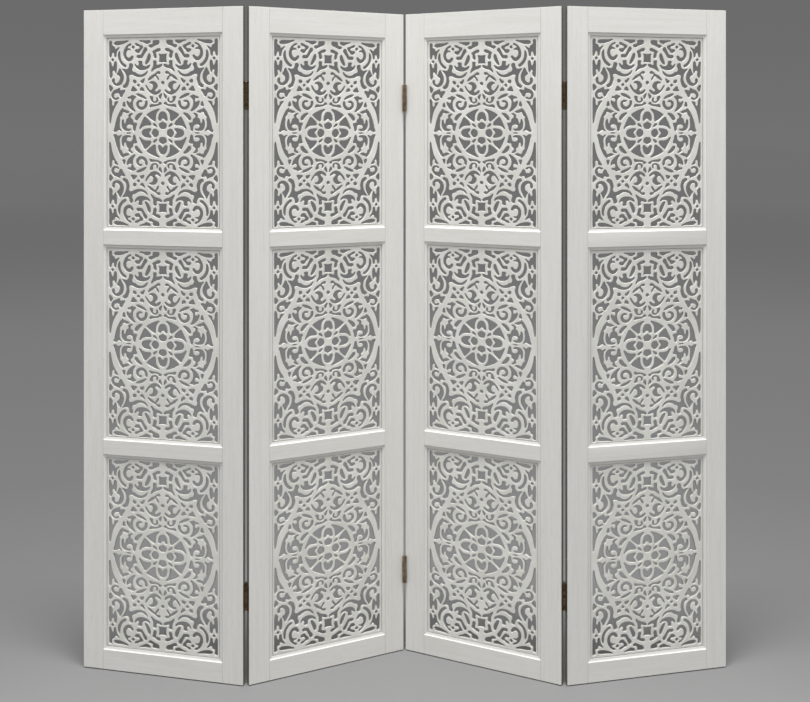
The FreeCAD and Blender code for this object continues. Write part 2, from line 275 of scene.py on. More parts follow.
def mergedCopy(node):
    # a copy of a CAD node with its loose triangles merged into whole faces
    mesh = nodes[node].data.copy()
    with editing(mesh) as work:
        bmesh.ops.remove_doubles(work, verts=work.verts, dist=merging)
        bmesh.ops.dissolve_limit(work, angle_limit=math.radians(1), verts=work.verts, edges=work.edges)
        bmesh.ops.recalc_face_normals(work, faces=work.faces)
    return mesh


def newTree(name, output, inputs):
    # a node tree with its named inputs' sockets; the names are listed by their kind
    tree = bpy.data.node_groups.new(name, "GeometryNodeTree")
    for kind, labels in inputs.items():
        for label in labels:
            tree.interface.new_socket(label, in_out="INPUT", socket_type="NodeSocket" + kind)
    tree.interface.new_socket(output, in_out="OUTPUT", socket_type="NodeSocketGeometry")
    return tree, {socket.name: socket for socket in addNode(tree, "NodeGroupInput").outputs}


def applyTree(piece, tree, values):
    # the mesh that a tree makes of a piece, with the tree's inputs found by name
    modifier = piece.modifiers.new(tree.name, "NODES")
    modifier.node_group = tree
    for item in tree.interface.items_tree:
        if item.item_type == "SOCKET" and item.in_out == "INPUT" and item.name in values:
            modifier[item.identifier] = values[item.name]
    return evaluated(piece)


def dress(piece, body, node):
    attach(piece, body)
    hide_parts(node)


def boardFrame(node):
    # a flat board's own frame and size: across, back and up, from the middle of its solid
    corners = [v.co for v in nodes[node].data.vertices]
    mean = sum(corners, Vector()) / len(corners)
    spreadX = sum((c.x - mean.x) ** 2 for c in corners)
    spreadY = sum((c.y - mean.y) ** 2 for c in corners)
    cross = sum((c.x - mean.x) * (c.y - mean.y) for c in corners)
    turn = Matrix.Rotation(math.atan2(2 * cross, spreadX - spreadY) / 2, 4, "Z")
    local = [turn.inverted() @ c for c in corners]
    low = Vector(min(c[i] for c in local) for i in range(3))
    high = Vector(max(c[i] for c in local) for i in range(3))
    return turn @ Matrix.Translation((low + high) / 2), high - low


def panelFrame(number):
    # a panel's own frame, from the floor at the middle of its width and thickness, and half its size
    place = boardFrame(f"panel_{number}_lower_fretwork")[0]
    place.translation.z = 0
    inverse = place.inverted()
    stiles = (nodes[f"panel_{number}_{side}_stile"] for side in ("left", "right"))
    corners = [inverse @ v.co for stile in stiles for v in stile.data.vertices]
    return place, Vector(max(c[i] for c in corners) for i in range(3))


# Frames: the stiles and rails with eased arrises, so that their joints show as fine lines. Each foot is
# cut back behind the faces; the edges that meet at a seam and the foot's recess are coloured dark as painted
# shade.

framing = {"easedEdge": 0.5, "easedSteps": 2, "leastArris": 8, "stileFace": 59, "footHeight": 2.5,
           "footSetback": 6, "stiles": ("left_stile", "right_stile"),
           "rails": ("bottom_rail", "lower_mid_rail", "upper_mid_rail", "top_rail")}
# where the painted shade at the seams and the joints' stain lie: how near the edge of a panel, how far into a
# joint and how near the faces, and how far a face there is turned towards the seam or the joint
shadeOrStainPlaces = {"seamDepth": 0.05, "seamTurn": 0.9, "jointWidth": 1.5, "jointTurn": 0.33, "skin": 1}
# the plain slope round each opening and the step and hollow cut into it: distances from the face's
# arris, with the depth below the face at each
moulding = {"width": 9, "depth": 3.3, "hollow": ((0.9, 0.32), (1.4, 1.2), (2.6, 1.9), (4.4, 2.5), (6.6, 2.9)),
            "tiltPlay": 0.01, "cutPlay": 0.001}


def hollowed(mesh, place, reach):
    # the slopes are cut at each level, and the cuts are then set to the hollow's depths
    fall = moulding["depth"] / moulding["width"]
    tilt = math.cos(math.atan(fall))
    with editing(mesh, place) as work:
        for side in (-1, 1):
            levels = [(side * (reach.y - distance * fall * mm), side * (reach.y - depth * mm))
                      for distance, depth in moulding["hollow"]]

            def slopes():
                return [f for f in work.faces if abs(f.normal.y * side - tilt) < moulding["tiltPlay"]]

            for level, _ in levels:
                cut = slopes()
                around = dict.fromkeys(part for f in cut for part in (*f.edges, *f.verts))
                bmesh.ops.bisect_plane(work, geom=cut + list(around), dist=moulding["cutPlay"] * mm,
                                       plane_co=(0, level, 0), plane_no=(0, 1, 0))
            for corner in {v for f in slopes() for v in f.verts}:
                for level, depth in levels:
                    if abs(corner.co.y - level) < same:
                        corner.co.y = depth
                        break


def footCutter(place, reach):
    # two bars along the foot of a panel, one in each face
    work = bmesh.new()
    spare = 5 * mm
    for side in (1, -1):
        bar = bmesh.ops.create_cube(work, size=1)["verts"]
        bmesh.ops.scale(work, vec=(2 * (reach.x + spare), framing["footSetback"] * mm + spare,
                                   framing["footHeight"] * mm + spare), verts=bar)
        middle = reach.y + (spare - framing["footSetback"] * mm) / 2
        bmesh.ops.translate(work, vec=(0, side * middle, (framing["footHeight"] * mm - spare) / 2), verts=bar)
    mesh = bpy.data.meshes.new("footCutter")
    work.to_mesh(mesh)
    work.free()
    mesh.transform(place)
    return linked("footCutter", mesh)


def easeArrises(mesh, place, reach):
    # the edges all round the front and back faces, so that every joint shows as a fine groove
    with editing(mesh, place) as work:
        rims = [e for e in work.edges if abs(e.verts[0].co.y - e.verts[1].co.y) < same
                and all(abs(abs(v.co.y) - reach.y) < same for v in e.verts)
                and e.calc_face_angle(0) > math.radians(framing["leastArris"])]
        bmesh.ops.bevel(work, geom=rims, offset=framing["easedEdge"] * mm, offset_type="OFFSET",
                        segments=framing["easedSteps"], profile=0.5, affect="EDGES", clamp_overlap=False)
        bmesh.ops.recalc_face_normals(work, faces=work.faces)


def frameMember(node, name, material, cutter, place, reach):
    piece = linked(name, mergedCopy(node), material)
    if min(v.co.z for v in piece.data.vertices) < same:
        cut = piece.modifiers.new("foot", "BOOLEAN")
        cut.object = cutter
        cut.operation = "DIFFERENCE"
        cut.solver = "EXACT"
        baked(piece)
    easeArrises(piece.data, place, reach)
    return piece


def shadeAndStainEdges(piece, place, reach, seamSides):
    # second material: painted shade inside the foot's recess and on the edges that meet at a seam, a stain in the
    # rails' joints
    piece.data.materials.append(edgeShadeAndStainPaint)
    inverse = place.inverted()
    turned = inverse.to_3x3()
    joint = reach.x - (framing["stileFace"] + framing["easedEdge"]) * mm
    seam, skin = reach.x - shadeOrStainPlaces["seamDepth"] * mm, reach.y - shadeOrStainPlaces["skin"] * mm
    for face in piece.data.polygons:
        middle, facing = inverse @ face.center, turned @ face.normal
        # painted shade: the foot's recess and the edges at a seam take the dark colour; the joints take it as a
        # stain
        footRecessShade = middle.z < framing["footHeight"] * mm + same and abs(middle.y) < skin
        seamSlitShade = any(middle.x * side > seam and facing.x * side > shadeOrStainPlaces["seamTurn"] for side in seamSides)
        inJoint = joint < abs(middle.x) < joint + shadeOrStainPlaces["jointWidth"] * mm
        atJoint = inJoint and abs(middle.y) > skin and abs(facing.x) > shadeOrStainPlaces["jointTurn"]
        if footRecessShade or seamSlitShade or atJoint:
            face.material_index = 1


for number in panelNumbers:
    body = f"panel_{number}"
    place, reach = panelFrame(number)
    cutter = footCutter(place, reach)
    seamSides = [side for side, neighbour in ((-1, number - 1), (1, number + 1)) if neighbour in panelNumbers]
    for kind, paintKind in ((framing["stiles"], stilePaint), (framing["rails"], railPaint)):
        for member in kind:
            node = f"{body}_{member}"
            piece = frameMember(node, f"{node}_painted", paintKind, cutter, place, reach)
            hollowed(piece.data, place, reach)
            shadeAndStainEdges(piece, place, reach, seamSides)
            dress(piece, body, node)
    bpy.data.objects.remove(cutter)
print("frames dressed")


# Fretwork. Each hole of one quarter of the panel is a smooth closed line through a few points, across
# and up from the middle; the quarter is mirrored both ways.

fretwork = {"edgeRound": 0.9, "roundShare": 0.4, "roundSteps": 2, "lineSteps": 3, "openBy": 1.5,
            "leastRib": 3.2, "tipGain": 0.6, "blurSteps": 3, "rayStart": 0.1, "rayLength": 14.0, "rayWall": 2,
            "rayTurns": (0, 55, -55), "tongueWidth": 7.5, "tongueStep": 1.5, "sawnTilt": 0.35,
            "fieldDrop": {"lower": -1, "middle": 2.5, "upper": 2}}

quarterHoles = {
    "petalSideUp": [
        (10.5, 66), (21, 63.5), (33, 58.6), (46.5, 51), (44, 47), (38, 41.5), (31, 36.5), (24.5, 32.5),
        (22, 36), (21.8, 45), (19.8, 54), (15, 61)],
    "petalSideLevel": [
        (53, 43.6), (46, 38.2), (39, 31.5), (35, 24), (39, 21.8), (46, 22), (54, 21), (62, 17.5),
        (68.8, 11.8), (67.5, 17), (63.5, 26), (58.5, 35.5), (55.5, 41)],
    "petalCrossing": [
        (28.3, 24.8), (25, 26), (21.2, 23), (17.5, 17), (22, 18.8), (26.5, 21)],
    "ringBean": [
        (61.5, 54.5), (69, 54), (76, 50), (81.5, 43.5), (82.6, 37.5), (77.5, 36.4), (73, 41.5),
        (67.5, 47.5)],
    "flankBand": [
        (147, 5.5), (144, 13), (141.2, 25), (137.5, 38), (132, 51), (125.5, 62), (118.2, 69.2),
        (117.5, 66), (112, 63.5), (105, 60.5), (99.5, 58), (104, 55.4), (109, 55.4), (114, 57),
        (118.5, 57.4), (121, 54.5), (124, 49.5), (129.3, 44), (129, 38), (130, 30), (130.5, 21),
        (129, 13), (124, 5.5), (131, 9), (136, 7.5), (141, 4.6)],
    "flankCurl": [
        (95, 10.8), (100, 11.2), (105.5, 12.8), (108.3, 17.5), (105.5, 22.3), (99, 24.6), (92.5, 22.8),
        (88.9, 17.5), (88, 10), (85.2, 5.5), (82.3, 10), (81, 17.5), (78, 26), (83.5, 27.6), (88.5, 30),
        (90.3, 36.5), (94.5, 40.5), (96.5, 44), (95.3, 48.5), (90.5, 53.6), (96.5, 54.4), (101.5, 52),
        (103.3, 47.5), (102.3, 42.8), (107.5, 38.5), (110.8, 31.5), (113.2, 26.8), (116, 31),
        (118.3, 37.5), (121.3, 33), (122.3, 26), (122, 18.5), (119.5, 12), (114, 7.6), (106, 6.2),
        (99, 6.6)],
    "scrollEye": [
        (62, 87.5), (66, 89.5), (71.5, 89), (76.5, 85.2), (78.2, 79), (77, 72.6), (72, 67.3), (64.5, 65),
        (57, 66.3), (50.5, 71.5), (46.8, 79), (46.6, 86), (49, 89), (51.8, 86.5), (52.2, 80),
        (55.5, 74.3), (61.5, 71), (67.5, 72.2), (71.5, 76.2), (72.2, 81), (69.5, 84.8), (65, 85.8)],
    "scrollCrescent": [
        (77.8, 107.5), (70, 107.2), (60, 103.3), (53, 98.5), (49, 93.8), (54, 95), (61, 98.2), (69, 101),
        (75, 104)],
    "leafBeside": [
        (80.5, 100.5), (85, 101.5), (91, 103.5), (96, 100.5), (104, 98.5), (103.5, 95.5), (98, 95),
        (95, 92.5), (94.8, 88), (97.5, 85), (103, 86), (107, 87.5), (106.2, 81), (102.5, 73.5),
        (96, 66.8), (89, 62), (83, 59.8), (84.5, 63.5), (88.6, 70), (90.6, 79), (90, 88), (86.5, 94)],
    "teardrop": [
        (116, 86), (113.2, 79), (112.8, 74.5), (119.2, 73.9), (119, 78)],
    "hookRound": [
        (38, 100), (33, 100), (29.8, 98.5), (29.6, 94), (28.5, 89.5), (24.5, 87), (20, 88.5),
        (18.6, 92.5), (18.6, 97), (15.4, 96), (13.4, 91), (15.2, 86.3), (20.5, 83.4), (27.5, 83.6),
        (33, 87.5), (35.8, 93.5)],
    "hookUnder": [
        (38.5, 71.5), (37.5, 76.5), (33.5, 79), (27, 77.6), (17, 78), (12.5, 80.5), (11, 84.5),
        (7.5, 84.5), (4, 80.5), (9, 78.6), (16, 75.6), (26, 74.2), (33, 73)],
    "axisTriangle": [
        (3, 108.5), (8, 104.5), (11.8, 100.9), (11, 96.8), (8, 94), (5.5, 99)],
    "comma": [
        (39.5, 138.2), (34, 141.3), (27, 141), (20.5, 137.3), (16.8, 131), (17.2, 125.5), (21, 120.5),
        (22.4, 116.5), (19.5, 114.2), (14.5, 115.5), (7, 118.5), (8.5, 113.5), (13.5, 109.3), (20, 106.6),
        (26, 106.2), (33.5, 109), (41, 115), (47, 122.5), (51, 132), (45.5, 125), (40.5, 119.2),
        (35.5, 117.6), (31, 119.8), (28.3, 124.5), (28.2, 130), (30.6, 134.8), (35, 137.2)],
    "crossLowOuter": [
        (88.5, 128), (91.5, 122), (94, 116.5), (86, 116.3), (78, 118), (80.5, 121.5), (84.5, 125)],
    "crossLowInner": [
        (63.5, 125.5), (59, 123), (56.5, 116.5), (61, 117.5), (67, 118.5), (66, 122.5)],
    "crossHighOuter": [
        (87, 146), (81.5, 145), (79.5, 140.5), (84, 138), (87.5, 140.5)],
    "crossHighInner": [
        (66, 142.5), (60.5, 145.5), (54.5, 150), (57.5, 141.5), (62, 138)],
    "crossDot": [
        (72.8, 135), (69.5, 131.8), (72.8, 128.6), (76.1, 131.8)],
    "branching": [
        (98.5, 190.5), (94, 191.5), (90.5, 189), (90.3, 183.5), (92.8, 177), (92, 172), (88.5, 168.3),
        (83, 167), (78.5, 163.3), (71, 160.3), (63.5, 159.8), (56.5, 162), (50.5, 166), (45.5, 170.5),
        (50, 162.3), (57, 157.6), (65, 155.6), (74, 155.6), (83, 157.8), (90, 161), (95.5, 161.5),
        (100.5, 159.3), (101.8, 154), (100.8, 147), (102.5, 139), (106, 130), (111, 126.5),
        (116.5, 124.8), (119.5, 130), (113, 134.5), (109.3, 140.5), (108, 148), (108.8, 156.5),
        (111.3, 164), (116, 171), (121, 177), (114, 175.5), (108, 174.8), (103.5, 177), (100.2, 182)],
    "sideSpiral": [
        (128.5, 178), (124, 170.5), (119.5, 161.5), (118, 153), (119.3, 145), (123.5, 137.5),
        (130.5, 132.8), (138.5, 131.8), (146, 134.8), (150.8, 141), (150.8, 147.5), (147.5, 151),
        (144.8, 147), (144.6, 141.5), (140, 137.6), (133.5, 139.5), (129, 144.5), (127.6, 151.5),
        (130, 157.5), (134.5, 160.5), (137.5, 163.5), (133.8, 168)],
    "sideHook": [
        (131.5, 98.5), (136, 98.9), (140, 96.6), (145.2, 98.6), (147, 104), (144, 109.2), (137.5, 110.6),
        (131.5, 109), (129.5, 104), (127, 100.2), (123.5, 100.8), (119, 109), (113.5, 117), (119, 118.8),
        (123.5, 117.6), (127.5, 119.2), (129.5, 124), (133.5, 121.8), (139, 119.8), (146.5, 117),
        (151.8, 110.5), (153.5, 103.5), (150.5, 96.5), (144.5, 92.6), (138, 92.6), (132.5, 95.8)],
    "borderSliver": [
        (159.5, 95), (156, 93), (153.5, 88), (152.5, 80), (149, 75.8), (145.8, 79), (145, 84),
        (141, 86.7), (134.5, 87), (138.5, 81), (145, 71), (151, 58), (155, 42), (158.5, 25), (159.8, 40),
        (159.8, 70)],
    "borderTriangle": [
        (159.3, 132.5), (154, 128.5), (150.5, 123), (157.5, 115), (159.6, 122)],
    "borderLow": [
        (159.6, 195.5), (156.5, 195.5), (153.5, 189), (150, 185), (147, 189.5), (144.5, 196),
        (141.5, 197.8), (139.2, 193), (138.8, 180), (139.3, 169), (142, 164.8), (145, 168.5),
        (148.5, 172.2), (151.2, 168), (151, 161.5), (154, 156), (158.8, 153.5), (160, 175)],
    "borderHigh": [
        (160, 251), (158, 254.6), (155, 254.2), (153, 250), (153.5, 245), (150.5, 240.5), (146, 239),
        (143.2, 234.5), (139.5, 233.2), (130.5, 237.5), (134.5, 231.5), (138.3, 226), (140.3, 218),
        (141.5, 210.5), (145.5, 211), (147.2, 217), (150, 221.8), (153.3, 216), (156, 211), (158.8, 210),
        (160, 216), (160, 235)],
    "borderDot": [
        (150.5, 206.4), (147.2, 203), (150.5, 199.6), (153.8, 203)],
    "topLens": [
        (146, 248), (141, 252.5), (129, 253.2), (116, 253.4), (103, 255), (112, 250.3), (122, 246.8),
        (132, 244.8), (142, 244.6)],
    "cornerCrescent": [
        (129, 226), (132.5, 220), (133.6, 211), (131.5, 202), (126.5, 193), (119.5, 186), (112.5, 182.3),
        (109.8, 186.5), (115.5, 190.2), (122.3, 196.8), (126.8, 205), (128.6, 215)],
    "cornerGroove": [
        (96, 246.3), (103, 243.6), (109.5, 238), (114.5, 230), (117, 221), (116.2, 212), (112.3, 205),
        (106, 200.2), (98.5, 199.3), (92.5, 203.2), (88.8, 210.5), (92, 212.3), (96.5, 208.6),
        (101.5, 206.8), (107, 209.2), (110.3, 214.5), (110.8, 221.5), (108, 227.6), (102, 230.3),
        (96.8, 229.8), (99, 233), (104, 235.5), (101.5, 239.8), (96, 243)],
    "cornerDot": [
        (88.5, 240.6), (84.9, 237), (88.5, 233.4), (92.1, 237)],
    "cornerTongue": [
        (82, 247), (75.5, 245.6), (68.5, 241.6), (61.5, 239.8), (59.5, 236), (63, 231.5), (67.5, 227.5),
        (71, 222.6), (77.5, 222.4), (82.5, 226.5), (80.5, 230), (74.5, 230.8), (70.5, 233.5), (71, 237),
        (75.5, 240), (81, 242.8)],
    "cornerElbow": [
        (52, 235.5), (47.5, 231.5), (48.5, 227), (54, 220.5), (58.5, 213.5), (62, 208.6), (68, 207.3),
        (75.5, 207.5), (77.3, 211), (74.5, 214.3), (67, 214), (62.5, 217.5), (58.5, 225), (55.5, 231.5)],
    "cornerLens": [
        (39.5, 218), (37.2, 213), (38.2, 205), (42.5, 196.5), (47.5, 190), (52, 188.3), (52.3, 192),
        (49, 200), (45.5, 208.5), (42.5, 215.5)],
    "cornerBat": [
        (83, 190.5), (77.5, 187), (73.5, 187), (72, 191), (72.5, 196.5), (67.5, 197.5), (62.8, 196.5),
        (62.5, 190), (59.5, 185.2), (53.5, 183), (47, 183), (38.5, 187), (42.5, 180.5), (49, 176.8),
        (58, 174.5), (67.5, 174.8), (75, 177.5), (80.5, 183)],
    "topSlip": [
        (69, 254.4), (60, 254), (50, 253.8), (38.5, 254.3), (37.3, 250.8), (43, 247.5), (49.5, 246.3),
        (55.5, 249.5), (62, 252.3)],
    "topStep": [
        (29, 253), (21, 253.8), (12.8, 253.8), (11.3, 249.5), (14, 244.5), (21.5, 241.8), (29.5, 238.2),
        (36, 235.3), (41.5, 238.5), (39.5, 242), (33, 243.3), (29.5, 246.5)],
    "axisElbow": [
        (30, 223), (23, 227.5), (14, 231.6), (8.5, 231), (9, 226.3), (15.5, 223.6), (20, 221),
        (19.8, 214.5), (19.6, 208), (24, 206.2), (26.8, 211), (27.5, 218)],
    "axisFork": [
        (27, 197.5), (22.5, 198), (19, 196), (19, 190.5), (16.5, 187), (10, 187.8), (3.5, 188.6),
        (3.5, 184.5), (10, 180.5), (19, 178.3), (27, 174.3), (34, 169), (31.5, 176), (28, 182.5),
        (27.2, 190)],
    "innerFork": [
        (8.3, 167), (13, 168.8), (18, 166), (22, 162.3), (28, 159.5), (34, 156.3), (39, 151.8),
        (43.5, 145.5), (36, 149), (29, 152.8), (24.5, 155.6), (20.5, 154), (17, 150), (13, 145.5),
        (13.5, 151), (16.3, 156), (18, 159.8), (15.5, 162.2), (10, 162.8)],
}
# right halves of the holes on the upright middle line, each from the line round to the line again
uprightHalves = {
    "petalHeartUp": [
        (0, 57.8), (6, 56), (9.8, 51), (11.8, 44), (12.8, 36.5), (9, 34), (4.5, 37.5), (0, 40)],
    "petalHubUp": [
        (0, 30), (4.5, 27.5), (9.5, 25), (10.5, 20.5), (7, 13.5), (0, 12.3)],
    "axisDot": [
        (0, 142), (4, 138), (0, 134)],
    "axisSquare": [
        (0, 215), (6, 215.4), (10.6, 216.6), (9.3, 211), (9.3, 201), (10.6, 194.6), (6, 195.5),
        (0, 195.5)],
}
# upper halves of the holes on the level middle line
levelHalves = {
    "petalHeartLevel": [
        (61.5, 0), (60, 5.2), (55, 9.3), (46.5, 11.2), (38.5, 12), (34.8, 10.8), (38.5, 5.2), (41.2, 0)],
    "petalHubLevel": [
        (32, 0), (29.5, 5.5), (26, 10), (20, 9.8), (14.5, 5.5), (13.2, 0)],
    "flankSlit": [
        (109, 0), (102, 1.8), (94.5, 0)],
}


def wholeHole(half, across, upward):
    image = [(x * across, y * upward) for x, y in half]
    return half + [corner for corner in reversed(image) if corner not in half]


def turnsLeft(points):
    pairs = zip(points, points[1:] + points[:1])
    return sum(a[0] * b[1] - b[0] * a[1] for a, b in pairs) > 0


def holeCurve(name, outlines):
    # every outline runs anticlockwise, so that its normals all point the same way
    curve = bpy.data.curves.new(name, "CURVE")
    curve.dimensions = "2D"
    for points in outlines:
        spline = curve.splines.new("POLY")
        spline.points.add(len(points) - 1)
        ordered = points if turnsLeft(points) else points[::-1]
        for target, (x, y) in zip(spline.points, ordered):
            target.co = (x * mm, y * mm, 0, 1)
        spline.use_cyclic_u = True
    return curve


def fretTree():
    # One quarter's holes and the holes on the two middle lines become a pierced board with rounded edges.
    # The rounded rim is a profile swept along each hole, and the faces fill the space between the rims.
    tree, given = newTree("pierced board", "Board", {
        "Geometry": ["Quarter holes"], "Object": ["Upright holes", "Level holes"],
        "Float": ["Board width", "Board height", "Thickness", "Edge round", "Open by", "Least rib",
                  "Field drop", "Tongue width", "Tongue step"],
        "Int": ["Line steps", "Round steps"], "Material": ["Paint", "Cut paint"]})

    def inMode(node, label):
        # some versions of Blender hold the mode in an input
        if "Mode" in node.inputs:
            node.inputs["Mode"].default_value = label
        else:
            node.mode = label.upper().replace(" ", "_")
        return node

    def mirroredCurves(source, scale, reverse):
        turned = addNode(tree, "GeometryNodeTransform", [(source, 0)])
        turned.inputs["Scale"].default_value = scale
        if not reverse:
            return turned.outputs[0]
        return addNode(tree, "GeometryNodeReverseCurve", [(turned.outputs[0], 0)]).outputs[0]

    quarter = given["Quarter holes"]
    upright = addNode(tree, "GeometryNodeObjectInfo", [(given["Upright holes"], 0)]).outputs["Geometry"]
    level = addNode(tree, "GeometryNodeObjectInfo", [(given["Level holes"], 0)]).outputs["Geometry"]
    holes = addNode(tree, "GeometryNodeJoinGeometry")
    for source in (quarter, mirroredCurves(quarter, (-1, 1, 1), True),
                   mirroredCurves(quarter, (1, -1, 1), True), mirroredCurves(quarter, (-1, -1, 1), False),
                   upright, mirroredCurves(upright, (1, -1, 1), True),
                   level, mirroredCurves(level, (-1, 1, 1), True)):
        tree.links.new(source, holes.inputs[0])
    smooth = addNode(tree, "GeometryNodeCurveSplineType", [(holes.outputs[0], 0)], spline_type="CATMULL_ROM")
    finer = addNode(tree, "GeometryNodeSetSplineResolution",
                    [(smooth.outputs[0], 0), (given["Line steps"], 2)])
    fixed = inMode(addNode(tree, "GeometryNodeResampleCurve", [(finer.outputs[0], 0)]), "Evaluated")
    lines = inMode(addNode(tree, "GeometryNodeSetCurveNormal", [(fixed.outputs[0], 0)]), "Z Up")

    def calculated(operation, first, second=0):
        node = addNode(tree, "ShaderNodeMath", operation=operation)
        for number, value in enumerate((first, second)):
            if isinstance(value, (int, float)):
                node.inputs[number].default_value = value
            else:
                tree.links.new(value, node.inputs[number])
        return node.outputs[0]

    def noted(source, name, kind, value):
        return addNode(tree, "GeometryNodeStoreNamedAttribute", [(source, 0), (value, 3)], data_type=kind,
                       domain="POINT", in2=name).outputs[0]

    def recalled(name, kind):
        return addNode(tree, "GeometryNodeInputNamedAttribute", data_type=kind, in0=name).outputs[0]

    def scaled(vector, amount):
        node = addNode(tree, "ShaderNodeVectorMath", [(vector, 0)], operation="SCALE")
        if isinstance(amount, float):
            node.inputs[3].default_value = amount
        else:
            tree.links.new(amount, node.inputs[3])
        return node.outputs[0]

    normal = addNode(tree, "GeometryNodeInputNormal")
    spot = addNode(tree, "GeometryNodeInputPosition")
    aLittleIn = scaled(normal.outputs[0], fretwork["rayStart"] * mm)
    beside = addNode(tree, "ShaderNodeVectorMath", [(spot.outputs[0], 0), (aLittleIn, 1)], operation="ADD")
    upward = addNode(tree, "GeometryNodeCurvePrimitiveLine")
    upward.inputs["Start"].default_value = (0, -fretwork["rayWall"] * mm, 0)
    upward.inputs["End"].default_value = (0, fretwork["rayWall"] * mm, 0)

    def woodBeyond(outlines):
        # how deep the wood is behind each point of the outlines, found by rays straight in and slanting
        # to both sides; at a tip the slanting ones come out at once
        fence = addNode(tree, "GeometryNodeCurveToMesh", [(outlines.outputs[0], 0), (upward.outputs[0], 1)])
        least = fretwork["rayLength"] * mm
        for turn in fretwork["rayTurns"]:
            way = addNode(tree, "ShaderNodeVectorRotate", [(normal.outputs[0], "Vector")],
                          rotation_type="Z_AXIS")
            way.inputs["Angle"].default_value = math.radians(turn)
            ray = addNode(tree, "GeometryNodeRaycast", [(fence.outputs[0], "Target Geometry"),
                                                        (beside.outputs[0], "Source Position"),
                                                        (way.outputs[0], "Ray Direction")])
            ray.inputs["Ray Length"].default_value = fretwork["rayLength"] * mm
            depth = calculated("MULTIPLY", ray.outputs["Hit Distance"], math.cos(math.radians(turn)))
            found = addNode(tree, "GeometryNodeSwitch", [(ray.outputs["Is Hit"], "Switch")],
                            input_type="FLOAT")
            found.inputs["False"].default_value = fretwork["rayLength"] * mm
            tree.links.new(depth, found.inputs["True"])
            least = calculated("MINIMUM", found.outputs[0], least)
        return least

    # the outlines are opened all round, but by less where the rib would be thinner than the least rib, and
    # a tip that is too sharp gains a little; then they sink with the carved field
    spare = calculated("MULTIPLY", calculated("SUBTRACT", woodBeyond(lines), given["Least rib"]), 0.5)
    amount = calculated("MAXIMUM", calculated("MINIMUM", spare, given["Open by"]), -fretwork["tipGain"] * mm)
    even = addNode(tree, "GeometryNodeBlurAttribute", [(amount, "Value")], data_type="FLOAT")
    even.inputs["Iterations"].default_value = fretwork["blurSteps"]
    opened = addNode(tree, "GeometryNodeSetPosition", [(lines.outputs[0], 0),
                                                       (scaled(normal.outputs[0], even.outputs[0]), 3)])
    downward = addNode(tree, "ShaderNodeCombineXYZ", [(calculated("MULTIPLY", given["Field drop"], -1), 1)])
    lines = addNode(tree, "GeometryNodeTransform",
                    [(opened.outputs[0], 0), (downward.outputs[0], "Translation")])

    # the edges' rounding, less where the wood is too narrow for it
    rounding = calculated("MINIMUM", calculated("MULTIPLY", woodBeyond(lines), fretwork["roundShare"]),
                          given["Edge round"])
    marked = noted(lines.outputs[0], "rounding", "FLOAT", rounding)
    marked = noted(marked, "intoWood", "FLOAT_VECTOR", normal.outputs[0])
    marked = noted(marked, "linePlace", "FLOAT_VECTOR", spot.outputs[0])
    radius, intoWood = recalled("rounding", "FLOAT"), recalled("intoWood", "FLOAT_VECTOR")
    inset = addNode(tree, "GeometryNodeSetPosition", [(marked, 0), (scaled(intoWood, radius), 3)])

    parts = addNode(tree, "GeometryNodeJoinGeometry")

    def addSheet(outlines, height):
        # a flat face between outlines, at a height above the board's middle and as far below it
        gathered = addNode(tree, "GeometryNodeJoinGeometry")
        for outline in outlines:
            tree.links.new(outline.outputs[0], gathered.inputs[0])
        sheet = inMode(addNode(tree, "GeometryNodeFillCurve", [(gathered.outputs[0], 0)]), "Triangles")
        for level in (height, calculated("MULTIPLY", height, -1)):
            lift = addNode(tree, "ShaderNodeCombineXYZ", [(level, 2)])
            moved = addNode(tree, "GeometryNodeTransform",
                            [(sheet.outputs[0], 0), (lift.outputs[0], "Translation")])
            tree.links.new(moved.outputs[0], parts.inputs[0])

    def addWall(outline, low, high):
        ends = [addNode(tree, "ShaderNodeCombineXYZ", [(level, 2)]).outputs[0] for level in (low, high)]
        line = addNode(tree, "GeometryNodeCurvePrimitiveLine", [(ends[0], 0), (ends[1], 1)])
        wall = addNode(tree, "GeometryNodeCurveToMesh", [(line.outputs[0], 0), (outline.outputs[0], 1)])
        tree.links.new(wall.outputs[0], parts.inputs[0])

    half = calculated("MULTIPLY", given["Thickness"], 0.5)
    tongue = calculated("SUBTRACT", half, given["Tongue step"])
    rim = addNode(tree, "GeometryNodeCurvePrimitiveQuadrilateral",
                  [(given["Board width"], 0), (given["Board height"], 1)])
    narrower = calculated("MULTIPLY", given["Tongue width"], -2)
    field = addNode(tree, "GeometryNodeCurvePrimitiveQuadrilateral",
                    [(calculated("ADD", given["Board width"], narrower), 0),
                     (calculated("ADD", given["Board height"], narrower), 1)])
    addSheet((inset, field), half)
    # the thinner tongue round the board lies in the frame's grooves and leaves a fine channel beside them
    addSheet((field, rim), tongue)
    addWall(rim, calculated("MULTIPLY", tongue, -1), tongue)
    addWall(field, tongue, half)
    addWall(field, calculated("MULTIPLY", half, -1), calculated("MULTIPLY", tongue, -1))

